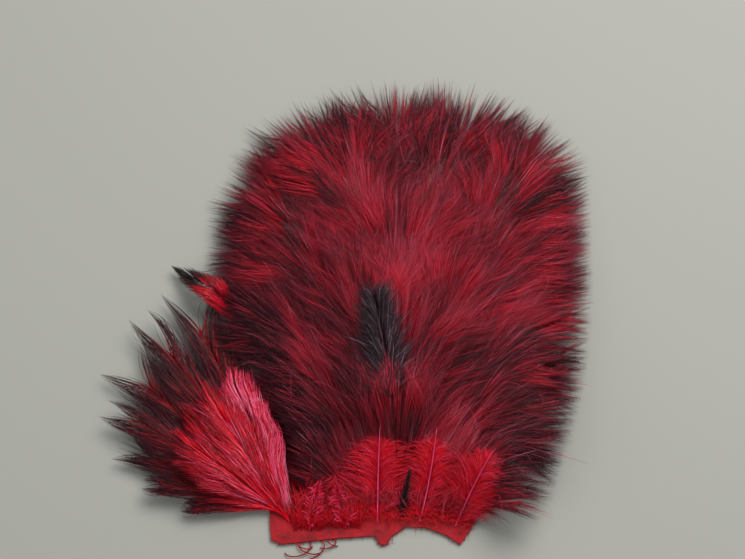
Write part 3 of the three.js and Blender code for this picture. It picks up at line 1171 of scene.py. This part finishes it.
@dataclass(frozen=True)
class Wisps:
    """The long dark ends of a hackle: barbs that gather in a few separate points."""

    count: int = 3
    barbs: int = 44
    points: int = 6
    from_t: float = 0.35
    until_t: float = 0.78
    shortest: float = 0.8
    longest: float = 1.0
    side_reach: float = 0.8
    half_width: float = 0.09
    open_by: float = 0.4
    shade: float = 0.3
    shade_spread: float = 0.08
    shorter: float = 0.4
    narrowing: float = 0.8

    def grow(self, mesh: BarbMesh, blade: Blade, random: Random) -> None:
        """Adds a feather's wisps.

        Args:
            mesh: takes the barbs.
            blade: the feather's middle surface.
            random: where its unevenness comes from.
        """
        for wisp in range(self.count):
            side_end = self.side_reach * mix(-1, 1, (wisp + random.uniform(0.2, 0.8)) / self.count)
            shorter = abs(side_end) * random.uniform(0.3, 1)
            d_end = blade.length * mix(self.longest, self.shortest, shorter)
            curl = random.normal(0, 0.25)
            u = shares(self.points)
            barbs = self.barbs
            t = u * (1 - self.shorter * random.random((barbs, 1)) ** 1.5)
            root_d = blade.length * random.uniform(self.from_t, self.until_t, (barbs, 1))
            distance = mix(root_d, d_end, t)
            side = (side_end + curl * t**2) * (1 - (1 - t) ** 1.8)
            lines = blade.surface(side, distance)
            swell = np.sin(np.pi * t**0.9)[:, :, None]
            lines[:, :, :2] += random.normal(0, self.open_by, (barbs, 1, 2)) * swell
            lines[:, :, 2] += random.uniform(-0.3, 0.8, (barbs, 1)) * swell[:, :, 0]
            lines[:, :, 2] = np.maximum(lines[:, :, 2], FLOOR_GAP)
            widths = self.half_width * (1 - self.narrowing * u) * random.uniform(0.7, 1.2, (barbs, 1))
            shades = clamp01(self.shade + random.normal(0, self.shade_spread, barbs))
            mesh.add(lines, widths, shades, 0.7, random.normal(0, 0.5, barbs))


@dataclass
class MarabouPlumage:
    """The five rows of fluffy feathers, from the top of the patch down."""

    # From the top of the patch down: level, root_y, root_half, count, left, right, middle, side, rise.
    rows: tuple[MarabouRow, ...] = (
        MarabouRow(1.0, 16, 13, 7, 76, 62, 1, 1, 10),
        MarabouRow(4.1, 2, 17, 8, 84, 76, 0.85, 1, 13),
        MarabouRow(7.2, -12, 18, 7, 76, 88, 0.64, 0.98, 17),
        MarabouRow(10.3, -26, 17, 8, 70, 98, 0.53, 0.97, 20),
        MarabouRow(13.4, -38, 15, 7, 66, 104, 0.46, 0.82, 23),
    )
    barbs: FluffyBarbs = FluffyBarbs()
    down: BaseDown = BaseDown()
    hairs: StrayHairs = StrayHairs()
    shaft: Shaft = Shaft(half_width=0.2)
    seed: int = 11

    def build(self) -> None:
        """Makes one piece for each feather, in place of its solid."""
        top = TopRows()
        for index, row in enumerate(self.rows):
            top.lay(row, index)
        number = 0
        for index, row in enumerate(self.rows):
            for order in range(row.count):
                number += 1
                name = f"marabou_feather_{number:02d}"
                blade = RowFeather(name, row, order)
                random = np.random.default_rng(self.seed + number)
                mesh = BarbMesh()
                self.shaft.grow(mesh, blade)
                self.barbs.grow(mesh, blade, self.barbs.locks(blade, top, index, random), random)
                self.hairs.grow(mesh, blade, random)
                if row is self.rows[-1]:
                    self.down.grow(mesh, blade, random)
                mesh.build(name + "_barbs", Finish.MARABOU, [name], "marabou")


@dataclass(frozen=True)
class TuftLayer:
    """A layer of the side tuft: its hackles, their headings and how their lengths fall off."""

    first: int
    count: int
    from_heading: float
    to_heading: float
    longest: float
    loss: float
    power: float
    level: float


@dataclass
class SideTuft:
    """The tuft of long glossy hackles at the skin's left corner."""

    # first, count, from_heading, to_heading, longest, loss, power, level
    layers: tuple[TuftLayer, ...] = (
        TuftLayer(1, 7, -25, -88, 62, 40, 1.6, 0.9),
        TuftLayer(8, 5, -22, -66, 36, 12, 2, 4.3),
    )
    neighbour_lift: float = 1.2
    lower_barbs: VaneBarbs = VaneBarbs(
        spacing=0.09, sweep=20, spread=0.6, ends=0.6, half_width=0.09, flatness=0.6, shade=0.68,
        tip_shade=0.04, turn_at=0.6, shade_spread=0.14, ragged=0.24, stretch=(1.0, 1.0), points=4,
        root_side=1.0, wave=1.3, wave_length=8.0,
    )
    lowest_barbs: VaneBarbs = VaneBarbs(
        spacing=0.12, sweep=11, spread=0.6, ends=0.4, half_width=0.09, flatness=0.6, shade=0.6,
        tip_shade=0.14, turn_at=0.6, shade_spread=0.12, ragged=0.2, stretch=(0.7, 0.7), points=4,
        root_side=0.9,
    )
    lowest_from: float = 0.8
    upper_barbs: VaneBarbs = VaneBarbs(
        spacing=0.08, sweep=17, spread=0.6, ends=0.75, half_width=0.085, flatness=0.6, shade=0.66,
        ragged=0.22, shade_spread=0.16, lift=1.4, stretch=(1.2, 1.2), points=5, root_side=1.1,
        tip_shade=0.5, turn_at=0.9, wave=1.8,
    )
    # The hackles at the fluff's side: pale pink dye with painted highlight, in streaks along the barbs.
    pink_dye_and_highlight_barbs: VaneBarbs = VaneBarbs(
        spacing=0.05, sweep=15, spread=0.6, ends=0.8, half_width=0.085, flatness=0.6, shade=0.93,
        shade_spread=0.2, ragged=0.22, lift=1.6, stretch=(1.1, 1.3), points=6, root_side=1.2,
        wave=1.8,
    )
    pink_highlight_until: float = 0.2
    wisps: Wisps = Wisps(
        count=2, barbs=84, points=5, half_width=0.1, open_by=0.8, shade=0.1, shortest=0.9, longest=1.0,
    )
    shaft: Shaft = Shaft(ends=0.75, shade=0.6)
    seed: int = 71

    def build(self) -> None:
        """Makes one piece for each hackle, in place of its solid."""
        for layer in self.layers:
            spacing = 1 / (layer.count - 1)
            for order in range(layer.count):
                fan = order * spacing
                name = f"hackle_feather_{layer.first + order:02d}"
                blade = TuftFeather(
                    name,
                    fan,
                    spacing,
                    layer.longest - layer.loss * fan**layer.power,
                    layer.from_heading,
                    layer.to_heading,
                    layer.level,
                    self.neighbour_lift * (order % 2),
                )
                mesh = BarbMesh()
                self.shaft.grow(mesh, blade)
                random = np.random.default_rng(self.seed + layer.first + order)
                self._barbs(layer, fan).grow(mesh, blade, random)
                if layer is self.layers[0]:
                    self.wisps.grow(mesh, blade, random)
                mesh.build(name + "_barbs", Finish.HACKLE, [name], "hackle")

    def _barbs(self, layer: TuftLayer, fan: float) -> VaneBarbs:
        """Returns the barbs of a hackle: glossy pink, with painted highlight, at the fluff's side, sparse
        at the lower end.
        """
        if layer is self.layers[0]:
            return self.lowest_barbs if fan > self.lowest_from else self.lower_barbs
        return self.pink_dye_and_highlight_barbs if fan < self.pink_highlight_until else self.upper_barbs


@dataclass
class FrontFeathers:
    """The short soft hackles above the bare skin, the dark feather and the black-tipped one."""

    # Each feather's name, x, y, heading, bend, length, width, level and rise, as in the part's source.
    soft: tuple[LoneFeather, ...] = (
        LoneFeather("soft_hackle_1", -3.4, -45.5, 0, 4, 21, 10.5, 11.8, 24),
        LoneFeather("soft_hackle_2", 6, -45.5, 16, -10, 20, 8.5, 12, 24),
        LoneFeather("soft_hackle_3", 14, -46.5, 24, 14, 17, 9, 14, 18),
    )
    curled: tuple[LoneFeather, ...] = (
        LoneFeather("soft_hackle_4", -10.5, -47, -10, -8, 9, 5, 5, 12),
        LoneFeather("soft_hackle_5", -18.5, -47.5, 8, 10, 10, 4, 4, 12),
    )
    dark: tuple[LoneFeather, ...] = (LoneFeather("dark_feather", 1.6, -45, -2, -12, 58, 9, 17, 22),)
    black_tipped: tuple[LoneFeather, ...] = (
        LoneFeather("black_tipped_feather", -25, -1, -70, 22, 30, 5, 0.6, 20),
    )
    soft_barbs: VaneBarbs = VaneBarbs(
        spacing=0.038, sweep=9.5, back=4.0, half_width=0.06, flatness=0.6, lift=0.7, droop=1.6,
        ragged=0.17, shade=0.6, shade_spread=0.14, spread=0.8, stretch=(1.45, 1.25), beyond=0.1,
        frayed=0.9, sink=2.6, sinks_from=0.5, wave=0.7, wave_length=7.0,
    )
    curl_barbs: VaneBarbs = VaneBarbs(
        spacing=0.08, sweep=4, back=1.8, half_width=0.075, flatness=0.7, lift=1.6, ragged=0.25,
        shade=0.74, shade_spread=0.2, spread=0.7, stretch=(1.1, 1.1), beyond=0.1, points=4, wave=0.7,
        wave_length=2.5, frayed=0.5,
    )
    dark_barbs: VaneBarbs = VaneBarbs(
        spacing=0.04, starts=0.4, ends=0.8, sweep=11, half_width=0.08, flatness=0.6, lift=1.3,
        ragged=0.25, shade=0.42, shade_spread=0.22, points=4, stretch=(1.1, 1.1), beyond=-0.12,
        root_side=0.05, frayed=0.8,
    )
    # Near-black barbs low between the first two soft hackles: a painted shadow in the gap between them.
    shadow_slit_blade: LoneFeather = LoneFeather("dark_feather", 2.0, -45.6, 6, 8, 10, 1.3, 12.2, 19)
    shadow_slit_barbs: VaneBarbs = VaneBarbs(
        spacing=0.11, sweep=4.5, half_width=0.07, flatness=0.6, lift=0.5, ragged=0.3, shade=0.2,
        shade_spread=0.14, points=4, root_side=0.8, frayed=0.6,
    )
    black_tipped_barbs: VaneBarbs = VaneBarbs(
        spacing=0.05, ends=0.72, sweep=8, half_width=0.12, shade=0.7, tip_shade=0.05, turn_at=0.8,
        beyond=0.0, starts=0.2, stretch=(1.25, 1.25), points=4, lift=0.8, root_side=0.6, ragged=0.15,
        over=5.5,
    )
    black_point: Wisps = Wisps(
        count=1, barbs=90, points=5, from_t=0.66, until_t=0.85, side_reach=0.0, half_width=0.1,
        open_by=0.45, shade=0.05,
    )
    foot_down: BaseDown = BaseDown(
        barbs=120, quill=3.0, shortest=2.0, longest=4.6, fan=105.0, arch=0.9, shade=0.42, scatter=4.5,
        curl=9.0, lowest=-47.3,
    )
    corner_down: BaseDown = BaseDown(
        barbs=380, quill=3.0, shortest=4.0, longest=11.0, fan=45.0, turned=180.0, arch=1.6,
        shade=0.45, scatter=3.5, curl=12.0,
    )
    shaft: Shaft = Shaft(half_width=0.18, shade=0.7)
    raised_shaft: Shaft = Shaft(half_width=0.24, shade=1.0, raised=0.7)
    sunk_shaft: Shaft = Shaft(half_width=0.1, shade=0.3, shows_from=0.5, ends=0.75)
    # Pale hairs at the dark feather's edges, in its grey top stops: painted highlight.
    grey_highlight_hairs: Wisps = Wisps(
        count=4, barbs=9, points=5, from_t=0.5, until_t=0.75, shortest=0.78, longest=0.9,
        half_width=0.045, side_reach=1.2, open_by=0.9, shade=1.0,
    )
    seed: int = 131

    def build(self) -> None:
        """Makes one piece for each feather, in place of its solid."""
        soft, dark = Finish.SOFT_HACKLE, Finish.DARK
        kinds = (
            (self.soft, self.soft_barbs, self.raised_shaft, soft, "soft_hackle", (self.foot_down,)),
            (self.curled, self.curl_barbs, self.shaft, soft, "soft_hackle", (self.corner_down,)),
            (self.dark, self.dark_barbs, self.sunk_shaft, dark, "dark_feather", (self.grey_highlight_hairs,)),
            (
                self.black_tipped,
                self.black_tipped_barbs,
                self.shaft,
                Finish.BLACK_TIPPED,
                "dark_feather",
                (self.black_point,),
            ),
        )
        for feathers, barbs, shaft, finish, slot, extras in kinds:
            for index, blade in enumerate(feathers):
                mesh = BarbMesh()
                shaft.grow(mesh, blade)
                random = np.random.default_rng(self.seed + index)
                for kind in (barbs, *extras):
                    kind.grow(mesh, blade, random)
                # The near-black barbs between the first two soft hackles: a painted shadow.
                if feathers is self.dark:
                    self.shadow_slit_barbs.grow(mesh, self.shadow_slit_blade, random)
                mesh.build(blade.name + "_barbs", finish, [blade.name], slot)


def border(faces: list) -> list[tuple]:
    """Finds the edges of a sheet that only one of its faces has.

    Args:
        faces: each face's corners, in order.

    Returns:
        The two ends of each such edge, in the face's direction.
    """
    edges = dict.fromkeys(edge for face in faces for edge in zip(face, face[1:] + face[:1]))
    return [(a, b) for a, b in edges if (b, a) not in edges]


@dataclass
class Hide:
    """The skin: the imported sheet's outline with a finer surface and a fibrous torn edge."""

    grid: float = 0.9
    rim_step: float = 0.5
    thickness: float = SKIN_TOP
    roughened: float = 0.07
    bump_width: float = 1.1

    def outline(self) -> Array:
        """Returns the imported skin's outline from above, in millimetres, in order."""
        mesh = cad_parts["skin"].data
        high = max(v.co.z for v in mesh.vertices)
        top = {i: v.co for i, v in enumerate(mesh.vertices) if v.co.z > high / 2}
        places = {i: (round(co.x / MM, 3), round(co.y / MM, 3)) for i, co in top.items()}
        faces = [list(p.vertices) for p in mesh.polygons if all(i in top for i in p.vertices)]
        follows = dict(border([[places[i] for i in face] for face in faces]))
        start = min(follows)
        ordered = [start]
        while follows[ordered[-1]] != start:
            ordered.append(follows[ordered[-1]])
        return np.array(ordered)

    def build(self) -> None:
        """Makes the skin as one closed sheet in place of its solid."""
        corners = self.outline()
        rim = []
        for a, b in zip(corners, np.roll(corners, -1, axis=0)):
            steps = max(1, int(np.linalg.norm(b - a) / self.rim_step))
            rim += [mix(a, b, i / steps) for i in range(steps)]
        rim = np.array(rim)
        low, high = rim.min(0), rim.max(0)
        xs, ys = np.meshgrid(*(np.arange(low[axis], high[axis], self.grid) for axis in (0, 1)))
        inner = np.stack([xs.ravel(), ys.ravel()], axis=1)
        points = [Vector(p) for p in np.concatenate([rim, inner])]
        loop = list(range(len(rim)))
        verts, _, faces, *_ = delaunay_2d_cdt(points, [], [loop], 1, 1e-4)
        used = sorted({i for f in faces for i in f})
        index = {old: new for new, old in enumerate(used)}
        flat = np.array([verts[i] for i in used])
        triangles = [tuple(index[i] for i in f) for f in faces]
        wide = self.bump_width
        bumps = np.array([noise.fractal(Vector((x / wide, y / wide, 0.0)), 0.7, 2.0, 4) for x, y in flat])
        n = len(flat)
        top = np.column_stack([flat, self.thickness + self.roughened * bumps])
        bottom = np.column_stack([flat, np.zeros(n)])
        vertices = np.concatenate([top, bottom]) * MM
        faces = triangles + [(c + n, b + n, a + n) for a, b, c in triangles]
        faces += [(a, a + n, b + n, b) for a, b in border(triangles)]
        mesh = bpy.data.meshes.new("skin_hide")
        mesh.from_pydata(vertices.tolist(), [], faces)
        mesh.materials.append(DyedHide().material())
        piece = add_object("skin_hide", mesh)
        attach(piece, "root")
        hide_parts("skin")
        LOG.info("skin_hide: %d faces", len(mesh.polygons))


@dataclass
class LooseFibres:
    """Fibres of the torn hide: a few long curled ones below its edge and short fuzz along it."""

    # Where each curl starts, its radius in millimetres and its turn in degrees.
    curls: tuple[tuple[float, float, float, float], ...] = (
        (-22.0, -49.5, 2.6, 250.0),
        (-20.0, -49.3, 3.3, 200.0),
        (-17.5, -49.2, 2.4, -230.0),
        (-15.0, -49.1, 1.6, 240.0),
        (-12.5, -48.9, 1.3, -200.0),
        (-19.0, -49.3, 1.5, -260.0),
    )
    points: int = 16
    half_width: float = 0.15
    fuzz: int = 420
    fuzz_shortest: float = 0.3
    fuzz_longest: float = 1.1
    fuzz_half_width: float = 0.05
    fuzz_foot: float = 0.15
    curl_shade: float = 0.35
    curl_foot: float = 0.35
    curl_lift: float = 0.5
    seed: int = 5

    def build(self, rim: Array) -> None:
        """Makes the fibres as one piece.

        Args:
            rim: the skin's outline from above, in millimetres, in order.
        """
        random = np.random.default_rng(self.seed)
        mesh = BarbMesh()
        u = np.linspace(0, 1, self.points)
        for x, y, radius, turn in self.curls:
            angle = np.radians(180 + turn * u * (0.7 + 0.3 * u))
            across = radius * (1 - np.abs(np.cos(angle / 2))) * np.sign(turn)
            bent = np.radians(turn) * u
            line = np.stack(
                [
                    x + across + radius * np.sin(bent),
                    y - radius * 0.7 * (1 - np.cos(bent)) - 0.3,
                    self.curl_foot + self.curl_lift * np.sin(np.pi * u),
                ],
                axis=1,
            )
            mesh.add(line[None], np.full((1, self.points), self.half_width), np.array([self.curl_shade]))
        after = np.roll(rim, -1, axis=0)
        at = random.integers(0, len(rim), self.fuzz)
        share = random.random((self.fuzz, 1))
        foot = mix(rim[at], after[at], share)
        edge = after[at] - rim[at]
        out = np.stack([edge[:, 1], -edge[:, 0]], axis=1)
        out /= np.linalg.norm(out, axis=1, keepdims=True)
        out += random.normal(0, 0.5, out.shape)
        v = np.linspace(0, 1, 3)[None, :, None]
        reach = random.uniform(self.fuzz_shortest, self.fuzz_longest, (self.fuzz, 1, 1))
        flat = foot[:, None, :] + out[:, None, :] * (v * reach - self.fuzz_foot)
        height = random.uniform(0.2, 0.8, (self.fuzz, 1, 1)) * (1 - 0.4 * v)
        widths = np.broadcast_to(self.fuzz_half_width * (1 - 0.5 * v[:, :, 0]), (self.fuzz, 3))
        mesh.add(np.concatenate([flat, height], axis=2), widths, random.uniform(0.3, 0.7, self.fuzz))
        mesh.build("skin_loose_fibres", Finish.HIDE_FIBRE, [], "skin")


@dataclass
class Studio:
    """A plain pale floor, soft light and the camera that looks down at the patch."""

    focus_x: float = -4.5
    focus_y: float = 11.4
    elevation: float = 72.0
    distance: float = 600.0
    span: float = 171.0
    sensor: float = 36.0
    floor_size: float = 2000.0
    floor_colour: str = "a3a29a"
    floor_roughness: float = 0.8
    sky_colour: str = "dfe6ea"
    sky_strength: float = 0.35
    # Each lamp's name, place and size in millimetres, and power in watts.
    lamps: tuple[tuple, ...] = (
        ("key", (220, 300, 520), 420, 4.5),
        ("fill", (-420, -260, 380), 500, 0.8),
    )

    def build(self) -> None:
        """Makes the floor, the lamps, the world's light and the camera."""
        scene = bpy.context.scene
        scene.view_settings.view_transform = "Standard"
        mesh = bpy.data.meshes.new("floor")
        half = self.floor_size / 2 * MM
        corners = [(-half, -half, 0), (half, -half, 0), (half, half, 0), (-half, half, 0)]
        mesh.from_pydata(corners, [], [(0, 1, 2, 3)])
        paint = bpy.data.materials.new("floor_matt_paint")
        paint.use_nodes = True
        shader = paint.node_tree.nodes["Principled BSDF"]
        shader.inputs["Base Color"].default_value = linear(self.floor_colour)
        shader.inputs["Roughness"].default_value = self.floor_roughness
        mesh.materials.append(paint)
        floor = add_object("floor", mesh)

        world = bpy.data.worlds.new("studio")
        world.use_nodes = True
        sky = world.node_tree.nodes["Background"].inputs
        sky[0].default_value = linear(self.sky_colour)
        sky[1].default_value = self.sky_strength
        scene.world = world
        for lamp in self.lamps:
            self._lamp(*lamp)

        camera = add_object("camera", bpy.data.cameras.new("camera"))
        tilt = math.radians(self.elevation)
        back, height = self.distance * math.cos(tilt), self.distance * math.sin(tilt)
        camera.location = Vector((self.focus_x, self.focus_y - back, height)) * MM
        camera.rotation_euler = (math.pi / 2 - tilt, 0, 0)
        camera.data.lens = self.sensor * self.distance / self.span
        camera.data.sensor_width = self.sensor
        camera.data.clip_start = 0.01
        scene.camera = camera

    def _lamp(self, name: str, place: tuple[float, float, float], size: float, power: float) -> None:
        """Adds a square lamp that faces the patch."""
        light = bpy.data.lights.new(name, "AREA")
        light.size = size * MM
        light.energy = power
        lamp = add_object(name, light)
        lamp.location = Vector(place) * MM
        lamp.rotation_euler = (-Vector(place)).to_track_quat("-Z", "Y").to_euler()


def main() -> None:
    """Builds the studio, the skin and its feathers."""
    logging.basicConfig(level=logging.INFO, format="%(name)s: %(message)s")
    # Unseeded, the noise's offsets come from the clock, and each run's barbs would wave differently.
    noise.seed_set(NOISE_SEED)
    Studio().build()
    hide = Hide()
    hide.build()
    LooseFibres().build(hide.outline())
    MarabouPlumage().build()
    SideTuft().build()
    FrontFeathers().build()


if __name__ == "__main__":
    main()
